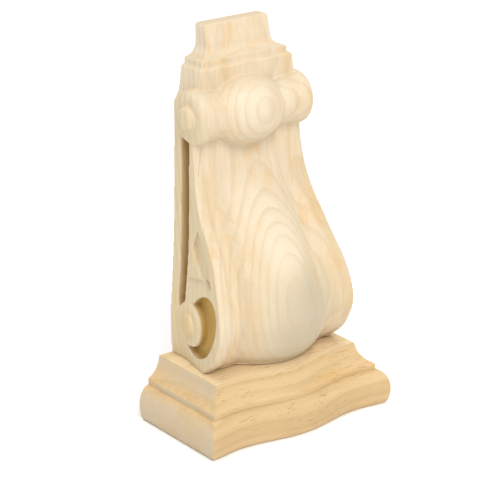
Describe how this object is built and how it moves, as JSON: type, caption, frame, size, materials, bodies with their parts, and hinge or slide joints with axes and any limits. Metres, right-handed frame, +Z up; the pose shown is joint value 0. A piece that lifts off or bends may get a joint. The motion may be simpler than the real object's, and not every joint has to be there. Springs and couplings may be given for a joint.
{
  "type": "carved wood corbel",
  "caption": "Upright wooden corbel with a scrolled, swelling front, a turned-looking roll across its head and side volutes, standing on a moulded base with a bowed front.",
  "frame": {"origin": "middle of the underside, at the centre of the part's box", "axes": "+Z up from the base to the neck, +Y out of the flat back, -Y out of the carved front, X across the front"},
  "size_m": [0.102, 0.0584, 0.18],
  "materials": {
    "upright_grain_wood": "bare, finely sanded pale softwood with its grain running up and down",
    "cross_grain_wood": "bare, finely sanded pale wood, a little warmer, with its grain running from side to side"
  },
  "bodies": {
    "root": {"scroll_body": "upright_grain_wood", "moulded_base": "cross_grain_wood"}
  },
  "joints": []
}
